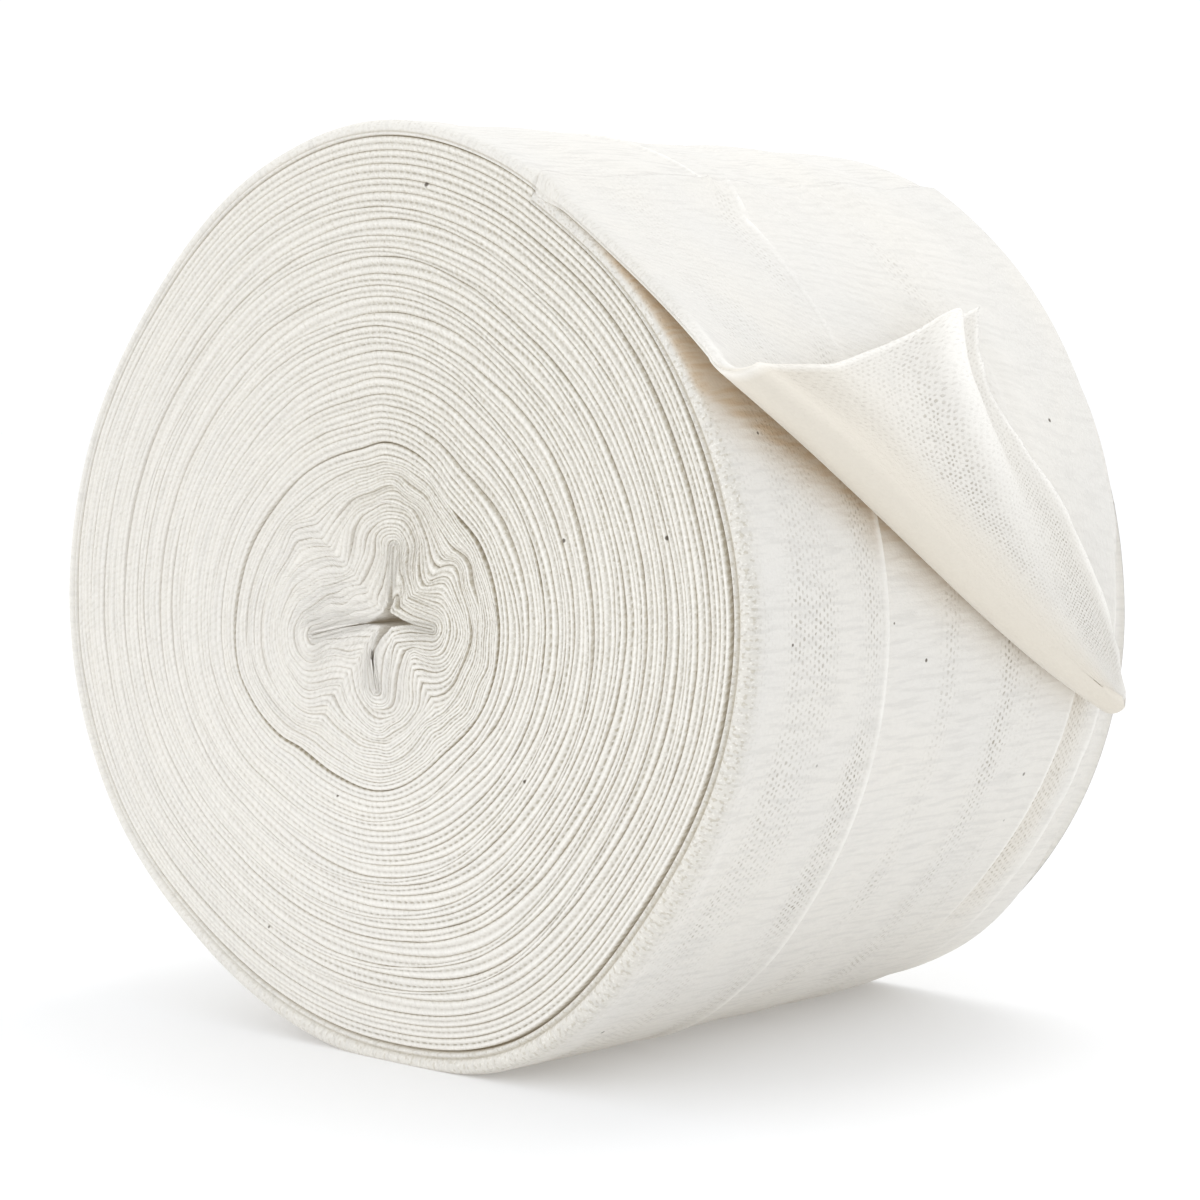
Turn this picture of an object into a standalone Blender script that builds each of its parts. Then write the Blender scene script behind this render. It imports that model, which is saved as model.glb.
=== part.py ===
"""Tubular gauze bandage, wound flat on itself into a roll, with its free end turned back.

The roll lies on its side: its axis runs along +Y, the free end comes over the top and hangs
on the +X side, and the roll rests on a small flat spot at Z = 0. The origin is the middle of
that flat spot. "Clock" angles are measured round the roll axis from the top towards +X.

Two pieces:
  wound_roll  all the turns but the last part of the outermost one, as one solid, with the
              crushed four-armed hollow where the winding starts
  loose_end   the last part of the outermost turn: it lies on the roll, lifts at the near
              edge, and its near corner is turned back over a slanting crease
"""

import math

import bmesh
import bpy

# Roll, in metres.
TUBE_WIDTH = 0.100            # flat width of the knitted tube, and so the length of the roll
ROLL_RADIUS = 0.0722          # mean radius of the winding
AXIS_HEIGHT = 0.0700          # height of the winding's centre above the flat spot
CLOTH_THICKNESS = 0.0017      # the tube pressed flat, two plies
AIR_GAP = 0.0004              # clearance between the loose end and the roll
RIM_ROUNDING = 0.0012         # radius of the folded tube edges, seen at both rims
ROLL_SEGMENTS = 180

# Last wound point: here the outermost turn leaves the solid and goes on as the loose end.
STEP_CLOCK = 26.0             # degrees
STEP_RAMP = 2.0               # degrees, over which the last turn's thickness ends

# Outline of the winding without its spiral growth: a soft square, sagged on its flat spot,
# and rounder at the far rim, where the turns lie looser.
# Columns: clock angle in degrees, near and far radius as shares of ROLL_RADIUS.
OUTLINE = (
    (0.0, 0.999, 0.992),
    (20.0, 0.982, 1.004),
    (36.0, 0.969, 1.000),
    (60.0, 0.993, 0.997),
    (84.0, 1.014, 1.008),
    (100.0, 1.007, 1.020),
    (128.0, 0.974, 1.024),
    (157.0, 1.002, 1.010),
    (180.0, 0.975, 0.975),
    (215.0, 0.962, 0.995),
    (240.0, 0.999, 1.008),
    (262.0, 1.008, 1.010),
    (285.0, 0.985, 1.000),
    (312.0, 0.955, 0.985),
    (340.0, 0.983, 0.985),
)

# Crushed hollow at the start of the winding. Places are shares of ROLL_RADIUS from the axis,
# sideways (towards +X) and upwards.
HOLLOW_CENTRE = (0.036, -0.022)
# Columns: tip sideways, tip upwards, sag of the arm's middle, half width at the root.
HOLLOW_ARMS = (
    (0.045, 0.120, 0.000, 0.014),
    (0.169, -0.036, 0.004, 0.015),
    (0.005, -0.173, -0.016, 0.017),
    (-0.200, -0.070, -0.014, 0.014),
)
ARM_TIP_HALF_WIDTH = 0.005    # share of ROLL_RADIUS
ARM_ROOT_STEP = 0.14          # share of an arm's length where its sides leave the hollow
ARM_STEPS = 5

# Loose end. Places across the tube run from 0 at the near edge to 1 at the far edge.
# The crease: constant, linear and square terms in degrees of clock angle.
CREASE_CLOCK = (59.5, 60.0, -17.3)
# The cut end, with the cloth unfolded. Columns: place across the tube, clock angle in degrees.
CUT_END = (
    (0.0, 118.0),
    (0.12, 112.4),
    (0.3, 110.8),
    (0.55, 112.0),
    (0.8, 110.3),
    (1.0, 106.0),
)
FAR_EDGE_DRAWN_IN = 0.0085    # how far the fold draws the tube's far edge in from the rim
BEND_RADIUS_NEAR = 0.0022     # radius of the turned-back fold at the near edge
BEND_RADIUS_FAR = 0.00145     # and at the far edge
EDGE_LIFT = 0.0033            # lift of the near edge off the roll, at the crease
EDGE_LIFT_REACH = 0.032       # how far across the tube that lift dies away
EDGE_LIFT_LENGTH = 0.022      # how far before the crease it begins
LAYER_SPACING = 0.0022        # middle of one layer to the middle of the one turned back on it
SETTLE_LENGTH = 0.018         # distance past the fold where the turned-back cloth comes to lie
CORNER_DROP = 0.0044          # how far the free corner slips down round the roll
CREST_HEIGHT = 0.0038         # soft ridge that runs along the cut end, highest at the corner
CREST_FROM_CUT = 0.0115       # distance of the ridge from the cut end
CREST_WIDTH = 0.0072
CREST_FADE = (0.07, 0.65)     # places across the tube between which the ridge dies away
CORNER_CURL = 0.0016          # extra rise of the free corner
CORNER_REACH = 0.016
COLUMNS_ACROSS = 24
ROWS_BEFORE_CREASE = 18
ROWS_IN_FOLD = 8
ROWS_TURNED_BACK = 14
LEAST_TURNED_BACK = 0.8       # degrees of cloth past the fold at the far corner

CREAM = (0.86, 0.83, 0.76, 1.0)
WARM_CREAM = (0.88, 0.85, 0.76, 1.0)


def smooth_step(value, start, end):
    """0 before start, 1 after end, with level ends between."""
    share = min(max((value - start) / (end - start), 0.0), 1.0)
    return share * share * (3.0 - 2.0 * share)


def polynomial(terms, value):
    return sum(term * value ** power for power, term in enumerate(terms))


def read_table(rows, value):
    """Second column of a table at a value of its first, smoothly between the rows."""
    index = max(i for i, row in enumerate(rows[:-1]) if i == 0 or row[0] <= value)
    (a0, r0), (a1, r1), (a2, r2), (a3, r3) = (
        rows[min(max(index + step, 0), len(rows) - 1)] for step in (-1, 0, 1, 2)
    )
    span = a2 - a1
    slope_1 = (r2 - r0) / (a2 - a0) * span
    slope_2 = (r3 - r1) / (a3 - a1) * span
    t = min(max((value - a1) / span, 0.0), 1.0)
    return (
        r1 * (1.0 + 2.0 * t) * (1.0 - t) ** 2
        + slope_1 * t * (1.0 - t) ** 2
        + r2 * t * t * (3.0 - 2.0 * t)
        + slope_2 * t * t * (t - 1.0)
    )


def outline_share(clock, across):
    """The outline's radius share at a clock angle; the table repeats every full turn."""
    near, far = (
        read_table(
            [(row[0] + turn, row[column]) for turn in (-360.0, 0.0, 360.0) for row in OUTLINE],
            clock % 360.0,
        )
        for column in (1, 2)
    )
    return near + (far - near) * min(max(across, 0.0), 1.0)


def roll_radius(clock, along):
    """Radius of the wound solid: the outline, grown by one thickness in a turn."""
    past_step = (clock - STEP_CLOCK - STEP_RAMP) % 360.0
    growing = 360.0 - STEP_RAMP
    turn_share = min(past_step / growing, (360.0 - past_step) / STEP_RAMP)
    share = outline_share(clock, along / TUBE_WIDTH)
    return ROLL_RADIUS * share + CLOTH_THICKNESS * turn_share


def on_roll(clock, radius, along):
    """World point at a clock angle and radius; along is measured from the near rim."""
    angle = math.radians(clock)
    height = AXIS_HEIGHT + radius * math.cos(angle)
    return (radius * math.sin(angle), along - TUBE_WIDTH / 2.0, max(height, 0.0))


def new_object(name, mesh, collection, color=None):
    obj = bpy.data.objects.new(name, mesh)
    collection.objects.link(obj)
    if color is not None:
        material = bpy.data.materials.new(name + "_cloth")
        material.use_nodes = True
        shader = material.node_tree.nodes["Principled BSDF"]
        shader.inputs["Base Color"].default_value = color
        shader.inputs["Roughness"].default_value = 0.95
        shader.inputs["Metallic"].default_value = 0.0
        mesh.materials.append(material)
    return obj


def rim_inset(along):
    """How far the rounded rim draws the surface in at this distance from the near rim."""
    to_rim = max(min(along, TUBE_WIDTH - along), 0.0)
    rise = max(RIM_ROUNDING - to_rim, 0.0)
    return RIM_ROUNDING - math.sqrt(RIM_ROUNDING ** 2 - rise ** 2)


def hollow_outline():
    """The hollow's outline, arm by arm in clock order, from curved centre lines."""
    start_x, start_z = (share * ROLL_RADIUS for share in HOLLOW_CENTRE)
    points = []
    for tip_x, tip_z, sag, root_half in HOLLOW_ARMS:
        reach_x = tip_x * ROLL_RADIUS - start_x
        reach_z = tip_z * ROLL_RADIUS - start_z
        reach = math.hypot(reach_x, reach_z)
        side_x, side_z = -reach_z / reach, reach_x / reach
        shares = [
            ARM_ROOT_STEP + (1.0 - ARM_ROOT_STEP) * step / ARM_STEPS
            for step in range(ARM_STEPS + 1)
        ]
        for side, order in ((1.0, shares), (-1.0, shares[::-1])):
            for share in order:
                half = ROLL_RADIUS * (
                    ARM_TIP_HALF_WIDTH + (root_half - ARM_TIP_HALF_WIDTH) * (1.0 - share) ** 2
                )
                bow = 4.0 * sag * ROLL_RADIUS * share * (1.0 - share)
                offset = side * half + bow
                points.append(
                    (
                        start_x + reach_x * share + side_x * offset,
                        start_z + reach_z * share + side_z * offset,
                    )
                )
    return points


def make_hollow_cutter(collection):
    """The hollow as a solid that runs right through the roll."""
    curve = bpy.data.curves.new("hollow_outline", "CURVE")
    curve.dimensions = "2D"
    curve.fill_mode = "BOTH"
    curve.extrude = TUBE_WIDTH * 0.6
    outline = hollow_outline()
    spline = curve.splines.new("POLY")
    spline.points.add(len(outline) - 1)
    for point, (x, z) in zip(spline.points, outline):
        point.co = (x, z, 0.0, 1.0)
    spline.use_cyclic_u = True
    guide = new_object("hollow_guide", curve, collection)
    guide.location = (0.0, 0.0, AXIS_HEIGHT)
    guide.rotation_euler = (math.pi / 2.0, 0.0, 0.0)
    bpy.context.view_layer.update()
    evaluated = guide.evaluated_get(bpy.context.evaluated_depsgraph_get())
    mesh = bpy.data.meshes.new_from_object(evaluated)
    work = bmesh.new()
    work.from_mesh(mesh)
    bmesh.ops.remove_doubles(work, verts=work.verts, dist=0.00001)
    bmesh.ops.recalc_face_normals(work, faces=work.faces)
    work.to_mesh(mesh)
    work.free()
    cutter = new_object("hollow_cutter", mesh, collection)
    cutter.matrix_world = guide.matrix_world.copy()
    cutter.hide_render = True
    cutter.display_type = "WIRE"
    bpy.data.objects.remove(guide)
    return cutter


def make_wound_roll(collection, cutter):
    """A cylinder shaped to the winding's outline, with the hollow cut through it."""
    work = bmesh.new()
    bmesh.ops.create_cone(
        work,
        cap_ends=True,
        segments=ROLL_SEGMENTS,
        radius1=ROLL_RADIUS,
        radius2=ROLL_RADIUS,
        depth=TUBE_WIDTH,
    )
    half_width = TUBE_WIDTH / 2.0
    ring_places = (0.25 * RIM_ROUNDING, RIM_ROUNDING)
    for place in ring_places:
        for height in (place - half_width, half_width - place):
            bmesh.ops.bisect_plane(
                work,
                geom=work.verts[:] + work.edges[:] + work.faces[:],
                plane_co=(0.0, 0.0, height),
                plane_no=(0.0, 0.0, 1.0),
            )
    for vert in work.verts:
        clock = math.degrees(math.atan2(vert.co.x, vert.co.y))
        along = half_width - vert.co.z
        vert.co = on_roll(clock, roll_radius(clock, along) - rim_inset(along), along)
    bmesh.ops.recalc_face_normals(work, faces=work.faces)
    mesh = bpy.data.meshes.new("wound_roll")
    work.to_mesh(mesh)
    work.free()
    mesh.shade_smooth()
    mesh.set_sharp_from_angle(angle=math.radians(40.0))
    roll = new_object("wound_roll", mesh, collection, CREAM)
    cut = roll.modifiers.new("crushed_hollow", "BOOLEAN")
    cut.operation = "DIFFERENCE"
    cut.object = cutter
    return roll


def crease(across):
    """Clock angle of the crease and its slant against the roll axis, in radians."""
    clock = polynomial(CREASE_CLOCK, across)
    slope = math.radians(CREASE_CLOCK[1] + 2.0 * CREASE_CLOCK[2] * across) / TUBE_WIDTH
    return clock, math.atan(slope * cloth_radius())


def cloth_radius():
    """Mean radius at which the loose end lies, for turning its lengths into clock angles."""
    return ROLL_RADIUS + 2.0 * CLOTH_THICKNESS


def bend_radius(across):
    share = smooth_step(across, 0.0, 0.87)
    return BEND_RADIUS_NEAR + (BEND_RADIUS_FAR - BEND_RADIUS_NEAR) * share


def lying_height(along, clock):
    """Height of the loose end's first layer over the roll: it lifts towards the near edge."""
    across = min(max(along / TUBE_WIDTH, 0.0), 1.0)
    crease_clock, slant = crease(across)
    to_crease = math.radians(clock - crease_clock) * cloth_radius() * math.cos(slant)
    ramp = min(max(1.0 + to_crease / EDGE_LIFT_LENGTH, 0.0), 1.0) ** 2
    lift = EDGE_LIFT * math.exp(-max(along, 0.0) / EDGE_LIFT_REACH) * ramp
    return CLOTH_THICKNESS / 2.0 + AIR_GAP + lift


def turned_height(past_fold, across, to_cut):
    """Height of the turned-back cloth over the layer below it."""
    fold = 2.0 * bend_radius(across)
    lying = fold + (LAYER_SPACING - fold) * smooth_step(past_fold, 0.0, SETTLE_LENGTH)
    crest = CREST_HEIGHT * math.exp(-((to_cut - CREST_FROM_CUT) / CREST_WIDTH) ** 2)
    crest *= 1.0 - smooth_step(across, *CREST_FADE)
    corner = math.hypot(to_cut, across * TUBE_WIDTH) / CORNER_REACH
    curl = CORNER_CURL * math.exp(-corner ** 2)
    return lying + (crest + curl) * smooth_step(past_fold, 0.0, SETTLE_LENGTH / 2.0)


def loose_end_point(across, clock):
    """Middle of the cloth at a place across the tube and a clock angle, counted unfolded."""
    crease_clock, slant = crease(across)
    drawn_in = FAR_EDGE_DRAWN_IN * smooth_step(clock, STEP_CLOCK, crease_clock)
    along = across * (TUBE_WIDTH - drawn_in)
    past_crease = math.radians(clock - crease_clock) * cloth_radius()
    past = past_crease * math.cos(slant)
    if past <= 0.0:
        radius = roll_radius(clock, along) + lying_height(along, clock)
        return on_roll(clock, radius, along)
    radius = bend_radius(across)
    turn = min(past / radius, math.pi)
    past_fold = max(past - math.pi * radius, 0.0)
    outward = radius * math.sin(turn) - past_fold
    slide = past_crease * math.sin(slant)
    along += slide * math.cos(slant) - outward * math.sin(slant)
    arc = slide * math.sin(slant) + outward * math.cos(slant)
    arc += CORNER_DROP * (1.0 - across) * smooth_step(past_fold, 0.0, SETTLE_LENGTH)
    lies_at = crease_clock + math.degrees(arc / cloth_radius())
    under_clock = min(lies_at, polynomial(CREASE_CLOCK, min(along / TUBE_WIDTH, 1.0)))
    height = lying_height(along, under_clock)
    if past_fold > 0.0:
        to_cut = math.radians(read_table(CUT_END, across) - clock) * cloth_radius()
        height += turned_height(past_fold, across, to_cut)
    else:
        height += radius * (1.0 - math.cos(turn))
    return on_roll(lies_at, roll_radius(lies_at, along) + height, along)


def row_clocks(across):
    """Clock angles of the sheet's rows: close together where the cloth folds over."""
    crease_clock, slant = crease(across)
    first = STEP_CLOCK + STEP_RAMP + math.degrees(2.0 * AIR_GAP / cloth_radius())
    fold_length = math.pi * bend_radius(across) / math.cos(slant)
    fold_end = crease_clock + math.degrees(fold_length / cloth_radius())
    last = max(read_table(CUT_END, across), fold_end + LEAST_TURNED_BACK)
    rows = []
    for start, end, steps in (
        (first, crease_clock, ROWS_BEFORE_CREASE),
        (crease_clock, fold_end, ROWS_IN_FOLD),
        (fold_end, last, ROWS_TURNED_BACK),
    ):
        rows += [start + (end - start) * step / steps for step in range(steps)]
    return rows + [last]


def make_loose_end(collection):
    """A grid laid in the loose end's folds and thickened to the pressed tube."""
    rows = ROWS_BEFORE_CREASE + ROWS_IN_FOLD + ROWS_TURNED_BACK
    work = bmesh.new()
    bmesh.ops.create_grid(work, x_segments=COLUMNS_ACROSS, y_segments=rows, size=0.5)
    for vert in work.verts:
        across = min(max(vert.co.x + 0.5, 0.0), 1.0)
        row = round((vert.co.y + 0.5) * rows)
        vert.co = loose_end_point(across, row_clocks(across)[row])
    mesh = bpy.data.meshes.new("loose_end")
    work.to_mesh(mesh)
    work.free()
    mesh.shade_smooth()
    sheet = new_object("loose_end", mesh, collection, WARM_CREAM)
    thick = sheet.modifiers.new("two_plies", "SOLIDIFY")
    thick.thickness = CLOTH_THICKNESS
    thick.offset = 0.0
    return sheet


def main():
    for obj in list(bpy.data.objects):
        bpy.data.objects.remove(obj)
    parts = bpy.data.collections.new("tubular_gauze_bandage_roll")
    cutters = bpy.data.collections.new("cutters")
    for collection in (parts, cutters):
        bpy.context.scene.collection.children.link(collection)
    cutter = make_hollow_cutter(cutters)
    make_wound_roll(parts, cutter)
    make_loose_end(parts)
    bpy.context.view_layer.update()


main()
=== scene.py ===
import math

import bpy
import numpy as np
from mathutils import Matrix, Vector


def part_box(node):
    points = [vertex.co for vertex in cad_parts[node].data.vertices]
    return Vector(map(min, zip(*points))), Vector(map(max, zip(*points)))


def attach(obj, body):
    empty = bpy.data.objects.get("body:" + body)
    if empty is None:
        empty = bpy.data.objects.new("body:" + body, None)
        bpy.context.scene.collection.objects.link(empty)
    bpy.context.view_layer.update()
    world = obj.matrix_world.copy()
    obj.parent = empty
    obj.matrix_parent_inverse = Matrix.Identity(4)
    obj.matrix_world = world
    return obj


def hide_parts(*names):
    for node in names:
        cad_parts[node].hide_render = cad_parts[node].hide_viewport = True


# Looks of the tubular gauze bandage roll. The cloth is built as it is made: one long flat
# tube of knit, wound on itself from a crushed core outwards, in five stretches that follow
# on from each other: core_turns, inner_turns, outer_turns, outermost_turn and free_end.
# "Clock" angles are in degrees round the roll axis from the top towards +X, and "across"
# runs over the tube's flat width from the near rim (0) to the far rim (1). A "level" counts
# turns from the hollow outwards: the cloth between levels n and n + 1 is one turn.

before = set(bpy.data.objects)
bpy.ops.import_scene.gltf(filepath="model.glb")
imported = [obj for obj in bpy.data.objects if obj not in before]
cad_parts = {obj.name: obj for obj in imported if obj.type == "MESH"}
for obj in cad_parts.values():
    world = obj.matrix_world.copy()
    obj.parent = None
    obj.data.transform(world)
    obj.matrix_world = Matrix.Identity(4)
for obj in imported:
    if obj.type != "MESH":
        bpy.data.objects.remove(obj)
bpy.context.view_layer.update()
roll_low, roll_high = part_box("wound_roll")

# ---- sizes, in metres
NEAR_RIM = roll_low.y
TUBE_WIDTH = roll_high.y - roll_low.y   # the flat tube's
ROLL_RADIUS = 0.0722
AXIS_HEIGHT = 0.07
CLOTH_THICKNESS = 0.0017
CLOTH_RADIUS = ROLL_RADIUS + 2.0 * CLOTH_THICKNESS
TONE_LENGTH = 0.11            # how fast the cotton's tone changes along the cloth
MILLIMETRE = 0.001

# The roll's outline. Columns: clock, near and far radius as shares of ROLL_RADIUS.
OUTLINE = (
    (0.0, 0.999, 0.992), (20.0, 0.982, 1.004), (36.0, 0.969, 1.0), (60.0, 0.993, 0.997),
    (84.0, 1.014, 1.008), (100.0, 1.007, 1.02), (128.0, 0.974, 1.024), (157.0, 1.002, 1.01),
    (180.0, 0.975, 0.975), (215.0, 0.962, 0.995), (240.0, 0.999, 1.008),
    (262.0, 1.008, 1.01), (285.0, 0.985, 1.0), (312.0, 0.955, 0.985), (340.0, 0.983, 0.985),
)

# The winding.
LAST_WOUND_CLOCK = 28.0       # here the outermost turn goes on as the free end
CORE_TURNS = 15               # crushed turns inside the loose ring
BODY_TURNS = 24               # turns from the ring to the outside
TURNS = CORE_TURNS + BODY_TURNS
SECOND_LOOSE_TURN = CORE_TURNS + 5   # a second, fainter loose ring
MIDDLE_TURN = 27              # the body's turns are two pieces, parted here
CORE_STEPS = 440              # mesh rows in a turn
BODY_STEPS = 420
OUTERMOST_STEPS = 400

# The crushed core, in shares of ROLL_RADIUS from the axis, sideways and upwards.
CORE_CENTRE = (0.036, -0.022)
ARM_TIPS = ((0.05, 0.13), (0.169, -0.036), (0.005, -0.173), (-0.2, -0.07))
ARM_HALF_WIDTH = 0.001
ARM_ROOT_FLARE = 0.0185
ARM_ROOT_REACH = 0.075
START_TURNS = 4.0             # turns over which the cloth's first end is taken up
# Small crumples of the crushed turns, in shares: their size and depth, the distances from
# the core's centre between which they come and go, and from the arms over which they start.
CRUMPLE_CELL, CRUMPLE_DEPTH = 0.052, 0.0085
CRUMPLE_RINGS = (0.05, 0.12, 0.24, 0.4)
ARM_STIFFNESS = (0.002, 0.025)
HALVINGS = 26                 # enough to find a boundary to the last digit that counts
# The loose ring where the crushed turns end. Columns: clock and radius about the core.
RING = (
    (0.0, 0.349), (20.0, 0.326), (36.0, 0.299), (60.0, 0.31), (95.0, 0.315), (122.0, 0.315),
    (150.0, 0.309), (183.0, 0.358), (207.0, 0.372), (222.0, 0.389), (231.0, 0.421),
    (244.0, 0.456), (254.0, 0.474), (267.0, 0.464), (287.0, 0.43), (306.0, 0.392),
    (325.0, 0.365), (347.0, 0.343),
)
# How far the loose ring stands open. Columns: clock and gap, in turns.
RING_GAP = (
    (0.0, 0.1), (25.0, 0.13), (45.0, 0.15), (95.0, 0.15), (130.0, 0.12), (165.0, 0.06),
    (190.0, 0.12), (215.0, 0.27), (238.0, 0.26), (262.0, 0.14), (300.0, 0.08),
    (330.0, 0.06),
)
# Pushes that bend the arms and their neighbours. Columns: place sideways and upwards,
# push sideways and upwards, reach.
PUSHES = (
    (0.02, -0.1, -0.03, 0.0, 0.055), (-0.11, -0.05, 0.0, 0.004, 0.07),
    (-0.13, 0.11, 0.02, -0.022, 0.05), (-0.23, 0.13, -0.014, 0.018, 0.045),
    (0.15, 0.09, -0.016, -0.02, 0.045), (0.215, 0.07, 0.016, 0.016, 0.04),
    (0.13, -0.13, -0.018, 0.02, 0.045), (0.19, -0.19, 0.014, -0.016, 0.045),
    (-0.12, -0.15, 0.018, 0.018, 0.05), (-0.2, -0.19, -0.014, -0.01, 0.05),
)

EDGE_BULGE = 0.034            # extra thickness of the outermost turn's puffed near edge
OUTERMOST_FAR_DEPTH = 0.0012  # depth of its far edge's rounding
# Near the free end the puffed edge's duller tint is partly its loops and partly painted shade.
END_RIM = 0.35                # how strongly the near edge shows its loops by the free end

# The free end, as in the CAD part but for the finer lie of its turned-back cloth.
AIR_GAP = 0.0004
CREASE_CLOCK = (59.5, 60.0, -17.3)   # terms of a polynomial in "across"
# Columns: across and the cut's clock.
CUT_END = (
    (0.0, 118.0), (0.12, 112.4), (0.3, 110.8), (0.55, 112.0), (0.8, 110.3), (1.0, 106.0),
)
FAR_EDGE_DRAWN_IN = 0.0085
BEND_RADIUS_NEAR, BEND_RADIUS_FAR = 0.0022, 0.00145
EDGE_LIFT, EDGE_LIFT_REACH, EDGE_LIFT_LENGTH = 0.0033, 0.032, 0.022
LAYER_SPACING = 0.0022
SETTLE_LENGTH = 0.014
CORNER_DROP = 0.0044
CREST_HEIGHT, CREST_FROM_CUT, CREST_WIDTH = 0.003, 0.014, 0.0052
VALLEY_DEPTH, VALLEY_FROM_CUT, VALLEY_WIDTH = 0.0007, 0.006, 0.0035
CREST_FADE = (0.07, 0.65)
CORNER_CURL, CORNER_REACH = 0.0016, 0.016
NEAR_SAG, NEAR_RISE, NEAR_SAG_REACH = 0.0017, 0.0012, 0.012
LEAST_TURNED_BACK = 0.8       # degrees of cloth beyond the fold
END_EDGE_DEPTH = 0.0011
SEAM_REACH = 0.012            # over this length the end takes up the outermost turn's last row
MOUTH_REACH = 0.009           # over this length the cloth opens towards the cut
# Lips of the cut mouth. Columns: share of the cloth's thickness, and distance back.
LIPS = ((0.5, 0.0), (0.42, 0.0035), (0.2, 0.006))
ROWS_BEFORE_CREASE, ROWS_IN_FOLD, ROWS_TURNED_BACK = 90, 16, 64

# ---- camera
def add_object(name, data):
    made = bpy.data.objects.new(name, data)
    bpy.context.scene.collection.objects.link(made)
    return made


camera = add_object("camera", bpy.data.cameras.new("camera"))
camera.data.lens = 90.0
camera.data.sensor_width = 36.0
camera.location = (0.3253, -0.3732, 0.1059)
LOOKS_ALONG = Vector((-0.6522, 0.7542, -0.0755))
camera.rotation_mode = "QUATERNION"
camera.rotation_quaternion = LOOKS_ALONG.to_track_quat("-Z", "Y")
camera.data.clip_end = 20.0
bpy.context.scene.camera = camera


# ---- small helpers
def unit(value):
    return np.clip(value, 0.0, 1.0)


def smooth(value, start, end):
    share = unit((value - start) / (end - start))
    return share * share * (3.0 - 2.0 * share)


def band(value, start, full, fading, end):
    """1 from full to fading, falling smoothly to 0 at start and end."""
    return smooth(value, start, full) * (1.0 - smooth(value, fading, end))


def bump(value, middle, reach):
    return np.exp(-(((value - middle) / reach) ** 2))


def read_table(rows, value, column=1):
    """A column of a table at values of its first, smoothly between the rows."""
    rows = np.array(rows, float)
    x, y = rows[:, 0], rows[:, column]
    i = np.clip(np.searchsorted(x, value, side="right") - 1, 0, len(x) - 2)
    before, after = np.maximum(i - 1, 0), np.minimum(i + 2, len(x) - 1)
    span = x[i + 1] - x[i]
    slope_1 = (y[i + 1] - y[before]) / (x[i + 1] - x[before]) * span
    slope_2 = (y[after] - y[i]) / (x[after] - x[i]) * span
    t = unit((value - x[i]) / span)
    return (
        y[i] * (1.0 + 2.0 * t) * (1.0 - t) ** 2
        + slope_1 * t * (1.0 - t) ** 2
        + y[i + 1] * t * t * (3.0 - 2.0 * t)
        + slope_2 * t * t * (t - 1.0)
    )


def round_table(rows, clock, column=1):
    """The same for a table that goes once round the roll."""
    turn = 360.0 * np.eye(1, len(rows[0]))
    rows = np.vstack([rows - turn, rows, rows + turn])
    return read_table(rows, np.mod(clock, 360.0), column)


def wander(x, y, seed):
    """Smooth noise from -1 to 1 over a lattice of unit steps that repeats after 64."""
    lattice = np.random.default_rng(seed).uniform(-1.0, 1.0, (64, 64))
    x, y = np.broadcast_arrays(np.asarray(x, float), np.asarray(y, float))
    column, row = np.floor(x).astype(int), np.floor(y).astype(int)
    u, v = smooth(x - column, 0.0, 1.0), smooth(y - row, 0.0, 1.0)
    corner = [
        lattice[(column + i) % 64, (row + j) % 64] for i, j in ((0, 0), (1, 0), (0, 1), (1, 1))
    ]
    low = corner[0] * (1.0 - u) + corner[1] * u
    high = corner[2] * (1.0 - u) + corner[3] * u
    return low * (1.0 - v) + high * v


def polynomial(terms, value):
    return sum(term * value ** power for power, term in enumerate(terms))


# ---- the winding's shape
def outline_share(clock, across):
    near, far = round_table(OUTLINE, clock, 1), round_table(OUTLINE, clock, 2)
    return near + (far - near) * unit(across)


def turn_share(clock):
    """How far round from the last wound point a clock angle is, from 0 to 1."""
    return np.mod(clock - LAST_WOUND_CLOCK, 360.0) / 360.0


def ring_share(clock):
    return round_table(RING, clock)


def soft_ring_share(clock):
    """The loose ring without its dents."""
    whole = np.arange(360.0)
    waves = np.fft.rfft(ring_share(whole))
    waves[3:] = 0.0
    return np.interp(np.mod(clock, 360.0), whole, np.fft.irfft(waves, 360), period=360.0)


def direction(clock):
    angle = np.radians(clock)
    return np.stack([np.sin(angle), np.cos(angle)], axis=-1)


def arm_distance(x, y):
    """Distance from the hollow's four arms, for places about the core, in shares."""
    nearest = np.full(np.shape(x), 9.0)
    for tip_x, tip_y in ARM_TIPS:
        arm_x, arm_y = tip_x - CORE_CENTRE[0], tip_y - CORE_CENTRE[1]
        reach = math.hypot(arm_x, arm_y)
        share = unit((x * arm_x + y * arm_y) / reach ** 2)
        root = unit(1.0 - share * reach / ARM_ROOT_REACH)
        half = ARM_HALF_WIDTH + ARM_ROOT_FLARE * root ** 1.5
        nearest = np.minimum(nearest, np.hypot(x - arm_x * share, y - arm_y * share) - half)
    return nearest


def push_core(points):
    """Moves points of the core, in shares, as the crushed turns shove each other."""
    x, y = points[..., 0], points[..., 1]
    moved = points.copy()
    for place_x, place_y, push_x, push_y, reach in PUSHES:
        weight = np.exp(-((x - place_x) ** 2 + (y - place_y) ** 2) / reach ** 2)
        moved[..., 0] += push_x * weight
        moved[..., 1] += push_y * weight
    from_x, from_y = x - CORE_CENTRE[0], y - CORE_CENTRE[1]
    # The closed arms stay straight in their cloth, and only bend with the pushes.
    crumple = band(np.hypot(from_x, from_y), *CRUMPLE_RINGS)
    crumple = crumple * smooth(arm_distance(from_x, from_y), *ARM_STIFFNESS)
    for axis, seed in enumerate((11, 12)):
        noise = wander(x / CRUMPLE_CELL + 20.0, y / CRUMPLE_CELL + 20.0, seed)
        moved[..., axis] += CRUMPLE_DEPTH * crumple * noise
    return moved


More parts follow.
